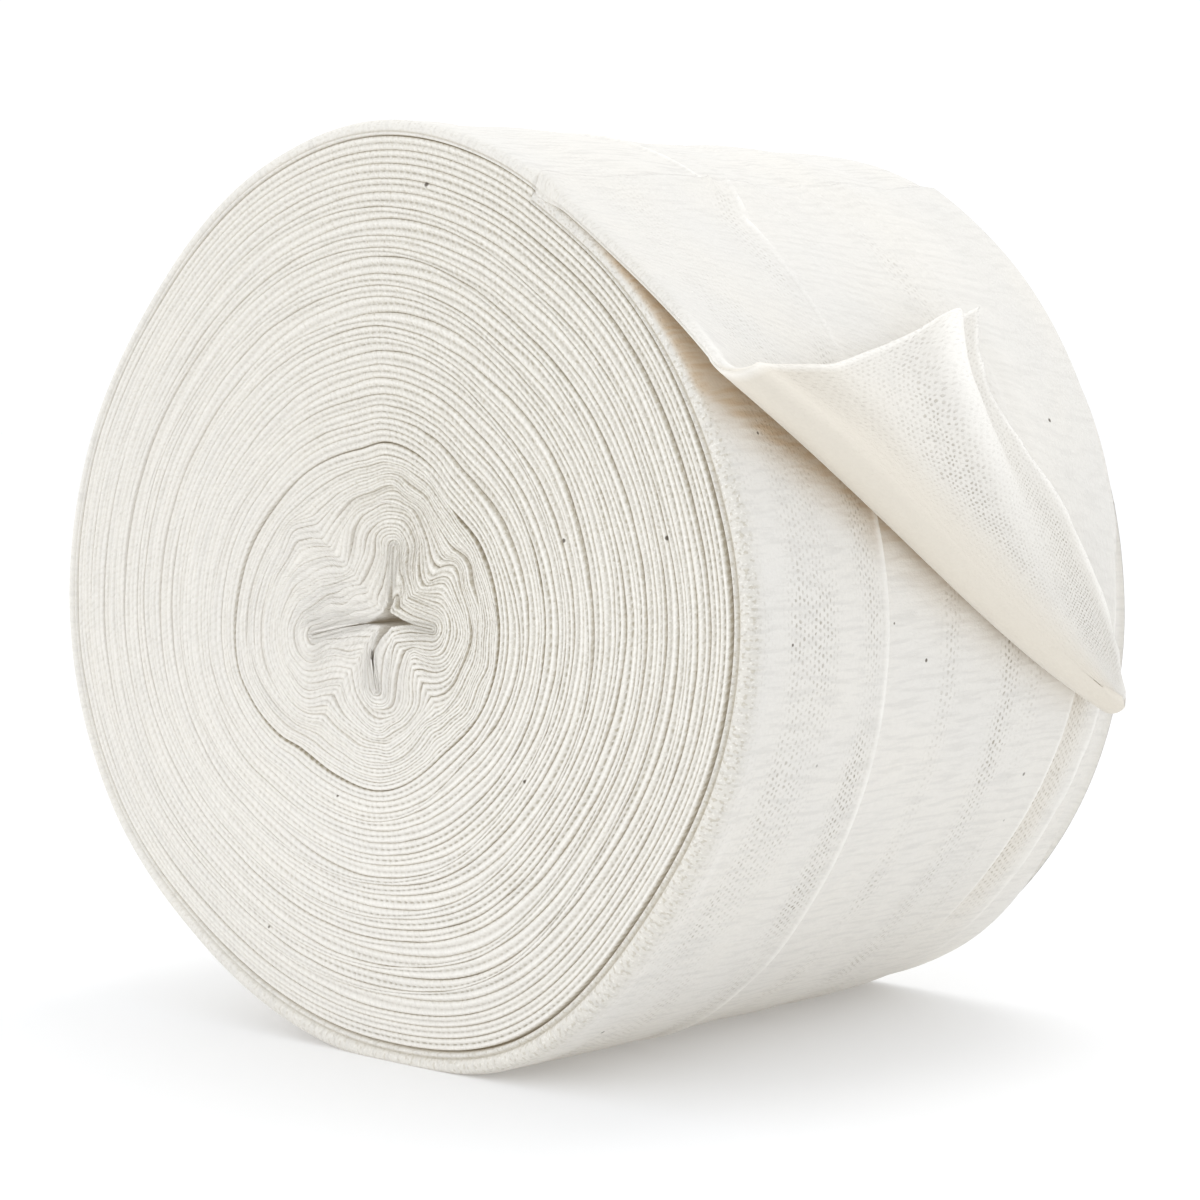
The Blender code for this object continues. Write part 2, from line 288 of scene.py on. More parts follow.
def core_radius(level, clock):
    """Radius about the core centre of a crushed turn's boundary, by halving."""
    target = unit(level / CORE_TURNS)
    outside, heading = ring_share(clock), direction(clock)
    low, high = np.zeros(np.shape(target)), outside * np.ones(np.shape(target))
    for _ in range(HALVINGS):
        middle = (low + high) / 2.0
        from_arms = arm_distance(middle * heading[..., 0], middle * heading[..., 1])
        inside = from_arms < target * (np.maximum(from_arms, 0.0) + outside - middle)
        low, high = np.where(inside, middle, low), np.where(inside, high, middle)
    return (low + high) / 2.0


def core_place(level, clock):
    """Place of a crushed turn's boundary, in shares from the roll axis."""
    centre = np.array(CORE_CENTRE)
    return push_core(centre + core_radius(level, clock)[..., None] * direction(clock))


def edge_bulge(clock):
    """Extra thickness of the outermost turn's puffed near edge, as a share."""
    turned = turn_share(clock)
    thinner = 1.0 - 0.75 * smooth(turned, 0.42, 0.75)
    return EDGE_BULGE * smooth(turned, 0.02, 0.14) * thinner * (1.0 - smooth(turned, 0.86, 1.0))


def growth():
    """Spiral growth of the outline in one turn, as a share of ROLL_RADIUS."""
    room = outline_share(LAST_WOUND_CLOCK, 0.5) - ring_share(LAST_WOUND_CLOCK)
    return room / BODY_TURNS


def body_place(level, clock, across):
    """Place of a body turn's boundary, in shares from the roll axis."""
    turned = turn_share(clock)
    ring, soft_ring = ring_share(clock), soft_ring_share(clock)
    outside = outline_share(clock, across) + growth() * turned
    turns_out = BODY_TURNS + turned
    bulge = edge_bulge(clock) * (1.0 - across) / (outside - ring)
    last_boundary = 1.0 - 1.0 / turns_out - bulge
    count = level - CORE_TURNS
    inner = last_boundary * count / (turns_out - 1.0)
    outer = last_boundary + (1.0 - last_boundary) * (count - turns_out + 1.0)
    beyond = 1.0 + (count - turns_out) / turns_out
    share = np.where(count < turns_out - 1.0, inner, np.where(count < turns_out, outer, beyond))
    centre = np.array(CORE_CENTRE)
    heading = direction(clock)
    start = centre + soft_ring[..., None] * heading
    place = start + (outside[..., None] * heading - start) * share[..., None]
    dents = (ring - soft_ring) * unit(1.0 - share) ** 2.5
    return place + dents[..., None] * heading


def round_noise(level, clock, grain, seed, steps=(5.31, 2.77), start=9.0):
    """Noise that runs on smoothly round and round the spiral."""
    angle = np.radians(clock)
    x = grain * np.sin(angle) + steps[0] * level + start
    return wander(x, grain * np.cos(angle) + steps[1] * level, seed)


def uneven_level(level, clock):
    """Some turns are wound tighter than others, and not all the way round."""
    turned = turn_share(clock)
    take_up = unit(1.0 - (level - turned) / START_TURNS)
    take_up = take_up * (1.0 - smooth(turned, 0.965, 1.0))
    from_ring = np.abs(level - CORE_TURNS - turned)
    free = smooth(from_ring, 0.0, 2.0) * smooth(level, 0.0, 2.0)
    free = free * (1.0 - smooth(level, TURNS - 4.0, TURNS - 2.0))
    noise = round_noise(level, clock, 1.7, 22, (0.9, 0.31), 0.0)
    wobble = round_noise(level, clock, 13.0, 23, (5.3, 2.7), 0.0)
    return np.maximum(level - turned * take_up, 0.0) + free * (0.3 * noise + 0.05 * wobble)


def winding_place(level, clock, across):
    """Sideways and upward place of any boundary, in metres from the roll axis."""
    level, clock, across = np.broadcast_arrays(level, clock, across)
    level = uneven_level(level, clock)
    core = core_place(np.minimum(level, CORE_TURNS), clock)
    body = body_place(np.maximum(level, CORE_TURNS), clock, across)
    # The two meet on the loose ring, where the pushes have died away.
    meet = (level >= CORE_TURNS)[..., None]
    return ROLL_RADIUS * np.where(meet, body, core)


def right_share(clock):
    """1 on the right of the near face, where the turns lie looser, and 0 on the left."""
    return 0.5 + 0.5 * np.cos(np.radians(clock - 95.0))


def upper_right_shade_share(clock):
    """1 on the upper right of the near face, where painted shade makes the cotton darker and
    duller.
    """
    return (0.5 + 0.5 * np.cos(np.radians(clock - 52.0))) ** 1.8


def clock_apart(clock, other):
    return np.mod(clock - other + 180.0, 360.0) - 180.0


def gap_share(level, clock):
    """Open gap at a boundary between two turns, as a share of a turn."""
    turned, right = turn_share(clock), right_share(clock)
    turn = np.round(level - turned)
    loose = 0.5 + 0.5 * round_noise(level, clock, 1.9, 21)
    gap = 0.006 + 0.01 * right + 0.085 * loose ** 3 * (0.12 + 0.88 * right)
    at_ends = band(turned, 0.0, 0.04, 0.96, 1.0)
    for loose_turn, extra in (
        (CORE_TURNS, round_table(RING_GAP, clock)),
        (SECOND_LOOSE_TURN, 0.1 * bump(clock_apart(clock, 88.0), 0.0, 34.0)),
        (TURNS - 1, 0.045 * smooth(turned, 0.06, 0.16) * (0.2 + 0.8 * right)),
    ):
        gap += np.where(turn == loose_turn, extra * at_ends, 0.0)
    return np.where(level < 1.0, 0.0, gap)


def near_edge(level, clock):
    """How far a turn's folded near edge stands back from the near rim, in metres."""
    crushed = 1.0 - smooth(level, CORE_TURNS - 2.0, CORE_TURNS + 1.0)
    slow = wander(level * 0.45, clock / 75.0 + 5.0, 31)
    each = round_noise(level, clock, 1.6, 32)
    fine = round_noise(level, clock, 9.0, 33)
    depth = 0.00034 + 0.00022 * slow + 0.0002 * each + 0.00006 * fine
    return depth + 0.00035 * crushed * (0.6 + round_noise(level, clock, 2.5, 34))


def far_edge(level, clock):
    """How far a turn's folded far edge stands back from the far rim, in metres."""
    slow = wander(level * 0.31, clock / 90.0, 41)
    each = round_noise(level, clock, 1.6, 42)
    telescoped = band(level, TURNS - 7.0, TURNS - 4.0, TURNS - 2.0, TURNS)
    return 0.0009 + 0.0005 * slow + 0.0004 * each - 0.0013 * telescoped


# ---- meshes
def cloth_object(name, points, along, around, looks):
    """A closed strip from rows of closed loops, with flat ends. points is (rows, columns, 3),
    and along and around are the cloth's own measures, for the knit."""
    rows, columns = points.shape[:2]
    index = np.arange(rows * columns).reshape(rows, columns)
    beside = np.roll(index, -1, axis=1)
    quads = np.stack([index[:-1], beside[:-1], beside[1:], index[1:]], axis=-1).reshape(-1, 4)
    faces = quads.tolist() + [index[0][::-1].tolist(), index[-1].tolist()]
    mesh = bpy.data.meshes.new(name)
    mesh.from_pydata(points.reshape(-1, 3).tolist(), [], faces)
    wide = np.broadcast_to(around, (rows, columns + 1))
    u = np.stack([wide[:-1, :-1], wide[:-1, 1:], wide[1:, 1:], wide[1:, :-1]], axis=-1)
    tall = np.broadcast_to(along[:, None], (rows, columns))
    v = np.stack([tall[:-1], tall[:-1], tall[1:], tall[1:]], axis=-1)
    corners = np.zeros((len(mesh.loops), 2))
    corners[: u.size, 0] = u.reshape(-1)
    corners[: v.size, 1] = v.reshape(-1)
    layer = mesh.uv_layers.new(name="cloth")
    layer.data.foreach_set("uv", corners.astype(np.float32).reshape(-1))
    for label, values in looks.items():
        values = np.broadcast_to(values, (rows, columns)).astype(np.float32)
        attribute = mesh.attributes.new(label, "FLOAT", "POINT")
        attribute.data.foreach_set("value", values.reshape(-1))
    mesh.shade_smooth()
    # The flat ends leave the cloth's own shading alone, so pieces join without a line.
    for number in range(len(quads), len(faces)):
        mesh.polygons[number].use_smooth = False
    mesh.update()
    return add_object(name, mesh)


def to_world(place, back):
    """World points from places about the roll axis and distances from the near rim."""
    height = np.maximum(AXIS_HEIGHT + place[..., 1], 0.0)
    return np.stack([place[..., 0], NEAR_RIM + back, height], axis=-1)


def run_of(steps):
    """Lengths run so far, from 0, along the last axis of an array of steps."""
    return np.concatenate([np.zeros((*steps.shape[:-1], 1)), np.cumsum(steps, axis=-1)], axis=-1)


def path_lengths(points):
    return run_of(np.linalg.norm(np.diff(points, axis=0), axis=1))


def loop_steps(points):
    return np.linalg.norm(np.diff(points, axis=1, append=points[:, :1]), axis=2)


def tone(along):
    """Slow change of the cotton's tone along the cloth."""
    return wander(along / TONE_LENGTH, 0.5, 51)[:, None]


def turn_level(level, inner_gap, outer_gap, side):
    """Level of a place in a turn, from its inner side (-1) to its outer side (1)."""
    share = 0.5 + side / 2.0
    return level + inner_gap / 2.0 + share * (1.0 - inner_gap / 2.0 - outer_gap / 2.0)


# A turn's folded near edge, from its inner side (-1) to its outer side (1): one ridge of
# loops for each ply with a shallow valley between them. Columns: side, depth, share of
# painted highlight on the ridges, share of painted shade in the grooves between turns, share
# of painted shade in the valley; depths are for a turn one cloth thickness wide.
NEAR_PROFILE = (
    (-1.0, 0.00042, 0.0, 1.0, 0.0), (-0.88, 0.00014, 0.1, 0.25, 0.0),
    (-0.58, 0.00003, 0.8, 0.0, 0.0), (-0.2, 0.00012, 0.1, 0.0, 0.1),
    (0.0, 0.0003, 0.0, 0.0, 1.0), (0.2, 0.00012, 0.1, 0.0, 0.1), (0.58, 0.0, 1.0, 0.0, 0.0),
    (0.88, 0.00013, 0.1, 0.25, 0.0), (1.0, 0.00042, 0.0, 1.0, 0.0),
)
FAR_PROFILE = ((1.0, 0.0008), (0.68, 0.0002), (0.0, 0.0), (-0.68, 0.0002), (-1.0, 0.0008))


def wound_stretch(name, clocks, start_length):
    """Plain turns of the flat tube: clocks is the run of total clock angles."""
    level = (clocks - LAST_WOUND_CLOCK) / 360.0
    right = right_share(clocks)
    inner_gap, outer_gap = gap_share(level, clocks), gap_share(level + 1.0, clocks)
    inside, outside = winding_place(level, clocks, 0.0), winding_place(level + 1.0, clocks, 0.0)
    through = outside - inside
    heading = np.gradient(inside + outside, axis=0)
    heading /= np.maximum(np.linalg.norm(heading, axis=1, keepdims=True), 1e-9)
    thick = np.abs(through[:, 0] * heading[:, 1] - through[:, 1] * heading[:, 0])
    # In the hollow's arms a row of the mesh runs slantwise through the cloth.
    upright = unit(thick / np.maximum(np.linalg.norm(through, axis=1), 1e-9))
    narrow = np.clip(thick / CLOTH_THICKNESS, 0.3, 1.3)
    openness = unit(0.15 + 0.45 * right + 4.0 * (outer_gap - 0.02))
    near, far = near_edge(level, clocks), far_edge(level, clocks)
    columns = []
    for number, (side, depth, *shares) in enumerate(NEAR_PROFILE):
        lumps = 0.000045 * wander(clocks / 1.9 + 5.0 * number, level * 3.0 + number, 35)
        shallow = 1.0 if abs(side) < 1.0 else 0.4 + 0.6 * openness
        back = near + depth * narrow * shallow + lumps * (1.0 - abs(side) ** 4)
        columns.append((side, back, 0.0, *shares))
    # At the far fold the painted shade of the grooves between turns grows towards both sides.
    for side, depth in FAR_PROFILE:
        columns.append((side, TUBE_WIDTH - far - depth * narrow, 1.0, 0.0, side ** 2, 0.0))
    # Painted highlights on the plies' ridges and painted shade in the valley between them, both
    # stronger on the right of the near face.
    shown = 0.22 + 0.78 * right
    seam = shown * np.clip(0.7 + 0.65 * round_noise(level, clocks, 2.3, 36), 0.08, 1.0)
    points, ridge_highlights, groove_shades, valley_shades = [], [], [], []
    for side, back, across, ridge, dark, valley in columns:
        within = turn_level(level, inner_gap, outer_gap, side)
        points.append(to_world(winding_place(within, clocks, across), back))
        # Painted shade in the grooves between turns: darker where the gap stands wider and
        # towards the right of the near face, where the light reaches less.
        wide = outer_gap if side > 0.0 else inner_gap
        groove_shade_strength = unit(0.14 + 0.5 * right + 3.0 * (wide - 0.03))
        groove_shades.append(dark * groove_shade_strength * upright)
        ridge_highlights.append(ridge * shown * upright)
        valley_shades.append(valley * seam * upright)
    points = np.stack(points, axis=1)
    along = start_length + path_lengths(points[:, len(NEAR_PROFILE) // 2])
    looks = {
        "groove_shade": np.stack(groove_shades, axis=1),
        "ridge": np.stack(ridge_highlights, axis=1),
        "valley": np.stack(valley_shades, axis=1),
        # Painted shade of the near face, strongest on its upper right.
        "loose": upper_right_shade_share(clocks)[:, None],
        "tone": tone(along),
    }
    return cloth_object(name, points, along, run_of(loop_steps(points)), looks), along[-1]


def core_run():
    """Clocks of the crushed turns, closer together where the turns bend."""
    fine = np.linspace(0.0, 360.0, 14401)
    density = np.zeros(len(fine) - 1)
    for level in (0.0, 0.0, 1.0, 4.0, 9.0, float(CORE_TURNS)):   # the hollow counts twice
        places = core_place(np.full(len(fine), level), fine + LAST_WOUND_CLOCK)
        steps = np.linalg.norm(np.diff(places, axis=0), axis=1)
        density += steps / steps.sum()
    run = run_of(density)
    one_turn = np.interp(np.linspace(0.0, run[-1], CORE_STEPS + 1), run, fine)[:-1]
    turns = [one_turn + 360.0 * turn for turn in range(CORE_TURNS)]
    return np.append(np.concatenate(turns), 360.0 * CORE_TURNS) + LAST_WOUND_CLOCK


def body_run(first, last):
    steps = (last - first) * BODY_STEPS + 1
    return LAST_WOUND_CLOCK + 360.0 * np.linspace(first, last, steps)


wound_pieces, wound_length = [], 0.0
for name, clocks in (
    ("core_turns", core_run()),
    ("inner_turns", body_run(CORE_TURNS, MIDDLE_TURN)),
    ("outer_turns", body_run(MIDDLE_TURN, TURNS - 1)),
):
    piece, length_so_far = wound_stretch(name, clocks, wound_length)
    wound_pieces.append((piece, length_so_far - wound_length))
    wound_length = length_so_far


# ---- outermost turn
# The sharp lengthwise crease. Columns: clock, counted on over the free end, and place.
LONG_CREASE = (
    (28.0, 0.03), (76.0, 0.0308), (95.0, 0.0313), (114.0, 0.0327), (132.0, 0.0345),
    (160.0, 0.0362), (200.0, 0.034), (260.0, 0.037), (330.0, 0.0385), (388.0, 0.0385),
    (399.0, 0.0366), (410.0, 0.036), (425.0, 0.0366), (450.0, 0.038),
)
CREASE_BASE = 0.034
STEP_BASE = 0.0838
# The far edge of the outermost turn, drawn in where it shows. Columns: clock and place.
FAR_STEP = ((80.0, 0.086), (101.0, 0.0836), (113.0, 0.0816), (127.0, 0.0795), (150.0, 0.078))

# The puffed near edge of the outermost turn, from its inner side (-1) to its outer side (1):
# a bright ridge, a second groove and a broad shoulder. Columns: side, depth as a share of
# the edge's depth, share of painted shade in its grooves.
EDGE_PROFILE = (
    (-1.0, 1.0, 1.0), (-0.95, 0.52, 0.8), (-0.86, 0.2, 0.2), (-0.74, 0.06, 0.0),
    (-0.62, 0.08, 0.0), (-0.5, 0.24, 0.5), (-0.42, 0.3, 0.7), (-0.32, 0.15, 0.2),
    (-0.15, 0.04, 0.0), (0.06, 0.0, 0.0), (0.28, 0.04, 0.0), (0.5, 0.13, 0.0),
    (0.68, 0.27, 0.0), (0.82, 0.46, 0.0), (0.93, 0.7, 0.0), (1.0, 1.0, 0.0),
)
FAR_SIDES = np.sin(np.radians([90.0, 68.0, 45.0, 22.0, 0.0, -22.0, -45.0, -68.0, -90.0]))
FIRST_STATION, LAST_STATION = 0.004, TUBE_WIDTH - 0.003
STATIONS = np.concatenate([
    np.arange(FIRST_STATION, 0.0315, 0.00095),
    np.arange(0.0318, 0.0364, 0.0003),
    np.arange(0.0368, 0.0815, 0.00098),
    np.arange(0.0818, 0.0862, 0.0003),
    np.arange(0.0868, LAST_STATION, 0.0008),
])
INNER_STATIONS = np.linspace(FIRST_STATION, LAST_STATION, 24)

# Soft waves of the outermost cloth. Columns: height, size across, size round in degrees, seed.
SKIN_WAVES = (
    (0.00026, 0.0085, 55.0, 62), (0.00012, 0.0034, 30.0, 63), (0.0003, 0.026, 34.0, 64),
)
# Faint raised lines round the side. Columns: place and seed.
SKIN_RIDGES = ((0.0475, 65), (0.061, 66), (0.0735, 67))
# Bands in which the knit's holes show on the side. Columns: strength, place, width.
OPEN_BANDS = (
    (0.6, 0.0098, 0.0026), (0.6, 0.016, 0.0034), (1.0, 0.0642, 0.0026),
    (0.5, 0.048, 0.0022), (0.3, 0.072, 0.0022), (0.35, 0.003, 0.0022),
)
SECOND_STEP = 0.0122          # from the far step to the next ply's
STEP_SHOWN = (84.0, 96.0, 122.0, 142.0)   # clocks between which the steps come and go


def step_edge(clock):
    """Place of the far edge of the outermost turn, where it is drawn in."""
    return read_table(FAR_STEP, np.clip(clock, FAR_STEP[0][0], FAR_STEP[-1][0]))


def station_place(base, clock):
    """Stations follow the lengthwise crease and the far step, so that both stay sharp."""
    shift = read_table(LONG_CREASE, clock) - CREASE_BASE
    step_shift = step_edge(clock) - STEP_BASE
    shift = shift * bump(base, CREASE_BASE, 0.011)
    return base + shift + step_shift * bump(base, STEP_BASE, 0.009)


def skin_height(place, clock):
    """Height of the creases and soft waves of the outermost cloth, in metres."""
    from_crease = place - read_table(LONG_CREASE, clock)
    broken = 0.75 + 0.25 * wander(clock / 9.0, 3.0, 61)
    height = broken * 0.0006 * bump(from_crease, 0.0, 0.00045)
    height -= 0.00016 * bump(from_crease, 0.0018, 0.0016)
    height -= 0.00012 * bump(from_crease, -0.0022, 0.002)
    for size, wide, long, seed in SKIN_WAVES:
        height += size * wander(place / wide, clock / long, seed)
    height += 0.00016 * bump(place, 0.0075, 0.0011)
    for ridge, seed in SKIN_RIDGES:
        line = ridge + 0.0014 * wander(clock / 40.0, 1.0, seed)
        height += 0.00018 * bump(place, line, 0.0009)
    return height


def step_depth(place, clock):
    """Drops beyond the drawn-in far edges of the outermost plies, in metres."""
    past = place - step_edge(clock)
    past_second = past - SECOND_STEP
    rise = 0.00035 * bump(past, -0.0007, 0.001) + 0.0003 * bump(past_second, -0.0008, 0.001)
    drop = 0.00125 * smooth(past, -0.0002, 0.0007) + 0.0009 * smooth(past_second, 0.0, 0.0009)
    return band(clock, 62.0, 92.0, 118.0, 146.0) * (rise - drop)


def tube_columns():
    """Columns of a detailed tube loop: part, side from -1 to 1, base place, share of painted
    groove shade.
    """
    columns = [("inner", -1.0, base, 0.0) for base in INNER_STATIONS[::-1]]
    columns += [("near", side, depth, dark) for side, depth, dark in EDGE_PROFILE]
    columns += [("outer", 1.0, base, 0.0) for base in STATIONS]
    columns += [
        ("far", side, 1.0 - math.sqrt(max(1.0 - side ** 2, 0.0)), 0.0) for side in FAR_SIDES
    ]
    return columns


COLUMNS = tube_columns()


def radially_out(clock):
    heading = direction(clock)
    return np.stack([heading[..., 0], np.zeros(np.shape(clock)), heading[..., 1]], axis=-1)


def crease_highlights(place, clock):
    """Painted highlights: bright lines along the lengthwise crease, the far step's edge and the
    near rim's, where they catch the light.
    """
    past = place - step_edge(clock)
    line = bump(place, read_table(LONG_CREASE, clock), 0.0004)
    line += bump(past, -0.0003, 0.00045) * band(clock, *STEP_SHOWN)
    line += bump(past, SECOND_STEP - 0.0004, 0.0006) * band(clock, 84.0, 100.0, 125.0, 150.0)
    rim = bump(place, FIRST_STATION + 0.0004 * wander(clock / 12.0, 2.0, 68), 0.0004)
    line += 0.35 * rim * band(clock, 100.0, 112.0, 136.0, 160.0)
    return unit(line * (0.8 + 0.25 * wander(clock / 5.0, 4.0, 69)))


def beyond_step(place, clock):
    """1 on the next ply's knit that shows beyond the outermost turn's far step, where it takes
    painted shade and shows its holes.
    """
    past = place - step_edge(clock)
    return band(past, 0.0, 0.0006, 0.005, 0.011) * band(clock, *STEP_SHOWN)


def open_bands(place, clock):
    """Where the knit's holes show on the roll's side: narrow bands along the length."""
    show = 1.1 * bump(place, read_table(LONG_CREASE, clock) - 0.0042, 0.0026)
    for strength, middle, width in OPEN_BANDS:
        show += strength * bump(place, middle, width)
    patchy = 0.65 + 0.65 * wander(place / 0.006, clock / 9.0, 71)
    # Painted light: the holes fade towards the top, which the light floods.
    flooded = 1.0 - 0.72 * smooth(np.cos(np.radians(clock - 5.0)), 0.35, 0.8)
    return unit(show * patchy * flooded + 0.9 * beyond_step(place, clock))


def under_end(place, clock):
    """How brown the cloth is in the shade of the free end's crease and lifted edge."""
    fold = polynomial(CREASE_CLOCK, unit(place / TUBE_WIDTH))
    past = np.maximum(clock - fold - 1.2, 0.0)
    shade = 0.42 * (1.0 - smooth(past, 0.0, 8.0)) + 0.5 * bump(past, 0.0, 1.4)
    shade = shade * (1.0 - 0.6 * smooth(place, 0.02, 0.07))
    return shade * smooth(clock, 38.0, 44.0) * (1.0 - smooth(place, 0.086, 0.092))


def rim_share(kind, side):
    """How much a column belongs to the puffed near edge."""
    return (kind == "near") * (1.0 - 0.8 * smooth(side, 0.8, 1.0))


def outermost_loops(clocks):
    """Points of the outermost turn and its looks, as a dictionary of attributes."""
    level = (clocks - LAST_WOUND_CLOCK) / 360.0
    inner_gap = gap_share(level, clocks)
    near, far = near_edge(level, clocks) * 0.6, 0.0002 + far_edge(level, clocks) * 0.8
    through = winding_place(level + 1.0, clocks, 0.0) - winding_place(level, clocks, 0.0)
    near_depth = np.clip(0.5 * np.linalg.norm(through, axis=-1), 0.0009, 0.0024)
    clock_on = np.mod(clocks - LAST_WOUND_CLOCK - 1e-9, 360.0) + LAST_WOUND_CLOCK + 1e-9
    off_ground = 1.0 - 0.8 * bump(clock_apart(clocks, 180.0), 0.0, 13.0)
    right = right_share(clocks)
    meets_end = smooth(turn_share(clocks - 1e-6), 0.8, 0.97)
    # The puffed near edge's duller tint: partly its end-on loops, partly painted shade, stronger
    # on the right where the light reaches less.
    rim = (0.25 + 0.75 * right) * (1.0 - meets_end) + END_RIM * meets_end
    points = []
    looks = {label: [] for label in ("groove_shade", "open", "ridge", "warm_shade", "shade", "rim")}
    for kind, side, base, dark in COLUMNS:
        if kind == "near":
            back = near + near_depth * base
        elif kind == "far":
            back = TUBE_WIDTH - far - OUTERMOST_FAR_DEPTH * base
        else:
            back = station_place(base, clock_on) if kind == "outer" else base
            back = back + (near + near_depth - 0.0034) * bump(base, 0.0, 0.006)
        within = turn_level(level, inner_gap, 0.0, side)
        point = to_world(winding_place(within, clocks, back / TUBE_WIDTH), back)
        if kind != "inner":
            lift = skin_height(back, clock_on) * smooth(side, 0.5, 1.0)
            lift = lift + step_depth(back, clock_on) * smooth(side, -0.2, 0.8)
            point = point + (lift * off_ground)[:, None] * radially_out(clocks)
        point[:, 2] = np.maximum(point[:, 2], 0.0)
        points.append(point)
        on_skin, in_shade = kind == "outer", kind in ("near", "outer")
        shown = (kind != "inner") * smooth(side, -0.5, 0.0)
        # Painted shade in the puffed edge's grooves, stronger on the right, where the light
        # reaches less.
        looks["groove_shade"].append(dark * (0.2 + 0.8 * right))
        looks["open"].append(shown * open_bands(back, clock_on))
        # Painted highlights along the crease and edges of the outer cloth.
        looks["ridge"].append(on_skin * crease_highlights(back, clock_on))
        # Painted shade on the ply that lies below the far step.
        looks["warm_shade"].append(0.45 * on_skin * beyond_step(back, clock_on))
        looks["shade"].append(in_shade * smooth(side, 0.3, 1.0) * under_end(back, clock_on))
        looks["rim"].append(rim * rim_share(kind, side))
    return np.stack(points, axis=1), {
        label: np.stack(values, axis=1) for label, values in looks.items()
    }


outermost_run = LAST_WOUND_CLOCK + 360.0 * np.linspace(TURNS - 1, TURNS, OUTERMOST_STEPS + 1)
outer_points, outer_looks = outermost_loops(outermost_run)
outer_along = wound_length + path_lengths(outer_points[:, 0])
outer_looks["tone"] = tone(outer_along)
outermost_turn = cloth_object(
    "outermost_turn",
    outer_points,
    outer_along,
    run_of(loop_steps(outer_points).mean(axis=0)),
    outer_looks,
)


# ---- free end
def roll_radius(clock, along):
    share = outline_share(clock, along / TUBE_WIDTH)
    return ROLL_RADIUS * share + CLOTH_THICKNESS * turn_share(clock)


def crease(across):
    """Clock of the crease, and its slant from the roll's length."""
    clock = polynomial(CREASE_CLOCK, across)
    slope = np.radians(CREASE_CLOCK[1] + 2.0 * CREASE_CLOCK[2] * across) / TUBE_WIDTH
    return clock, np.arctan(slope * CLOTH_RADIUS)


def bend_radius(across):
    share = smooth(across, 0.0, 0.87)
    return BEND_RADIUS_NEAR + (BEND_RADIUS_FAR - BEND_RADIUS_NEAR) * share


def lying_height(along, clock):
    """Height of the cloth that lies on the roll: it lifts at its near edge."""
    across = unit(along / TUBE_WIDTH)
    crease_clock, slant = crease(across)
    to_crease = np.radians(clock - crease_clock) * CLOTH_RADIUS * np.cos(slant)
    ramp = unit(1.0 + to_crease / EDGE_LIFT_LENGTH) ** 2
    lift = EDGE_LIFT * np.exp(-np.maximum(along, 0.0) / EDGE_LIFT_REACH) * ramp
    return CLOTH_THICKNESS / 2.0 + AIR_GAP + lift


def turned_height(past_fold, across, to_cut):
    """Height of the turned-back cloth over the cloth it lies on, with its crest."""
    fold = 2.0 * bend_radius(across)
    lying = fold + (LAYER_SPACING - fold) * (1.0 - smooth(to_cut, 0.0, SETTLE_LENGTH))
    crest = CREST_HEIGHT * bump(to_cut, CREST_FROM_CUT, CREST_WIDTH)
    crest -= VALLEY_DEPTH * bump(to_cut, VALLEY_FROM_CUT, VALLEY_WIDTH)
    crest = crest * (1.0 - smooth(across, *CREST_FADE))
    corner = np.hypot(to_cut, across * TUBE_WIDTH) / CORNER_REACH
    curl = CORNER_CURL * np.exp(-corner ** 2)
    return lying + (crest + curl) * smooth(past_fold, 0.0, SETTLE_LENGTH / 2.0)


def loose_end_middle(across, clock):
    """Middle of the free end's cloth; clock counts the cloth as if it lay unfolded."""
    crease_clock, slant = crease(across)
    drawn_in = FAR_EDGE_DRAWN_IN * smooth(clock, LAST_WOUND_CLOCK, crease_clock)
    along = across * (TUBE_WIDTH - drawn_in)
    past_crease = np.radians(clock - crease_clock) * CLOTH_RADIUS
    past = past_crease * np.cos(slant)
    radius = bend_radius(across)
    turn = np.clip(past / radius, 0.0, np.pi)
    past_fold = np.maximum(past - np.pi * radius, 0.0)
    outward = radius * np.sin(turn) - past_fold
    slide = past_crease * np.sin(slant)
    folded_along = along + slide * np.cos(slant) - outward * np.sin(slant)
    arc = slide * np.sin(slant) + outward * np.cos(slant)
    arc = arc + CORNER_DROP * (1.0 - across) * smooth(past_fold, 0.0, SETTLE_LENGTH)
    lies_at = crease_clock + np.degrees(arc / CLOTH_RADIUS)
    beside = polynomial(CREASE_CLOCK, np.minimum(folded_along / TUBE_WIDTH, 1.0))
    held_up = beside - 0.55 * np.maximum(beside - lies_at, 0.0)
    to_cut = np.radians(read_table(CUT_END, across) - clock) * CLOTH_RADIUS
    folded = turned_height(past_fold, across, to_cut)
    height = np.where(past_fold > 0.0, folded, radius * (1.0 - np.cos(turn)))
    height = lying_height(folded_along, held_up) + height
    # The near end of the fold sags and the cloth beyond it stands up.
    near_end = np.exp(-(across * TUBE_WIDTH / NEAR_SAG_REACH) ** 2)
    height -= near_end * NEAR_SAG * bump(past, 0.0088, 0.0046)
    height += near_end * NEAR_RISE * bump(past, 0.018, 0.0062)
    flat = past <= 0.0
    along = np.where(flat, along, folded_along)
    lies_at = np.where(flat, clock, lies_at)
    height = np.where(flat, lying_height(along, clock), height)
    place = (roll_radius(lies_at, along) + height)[..., None] * direction(lies_at)
    return to_world(place, along), past_fold, to_cut


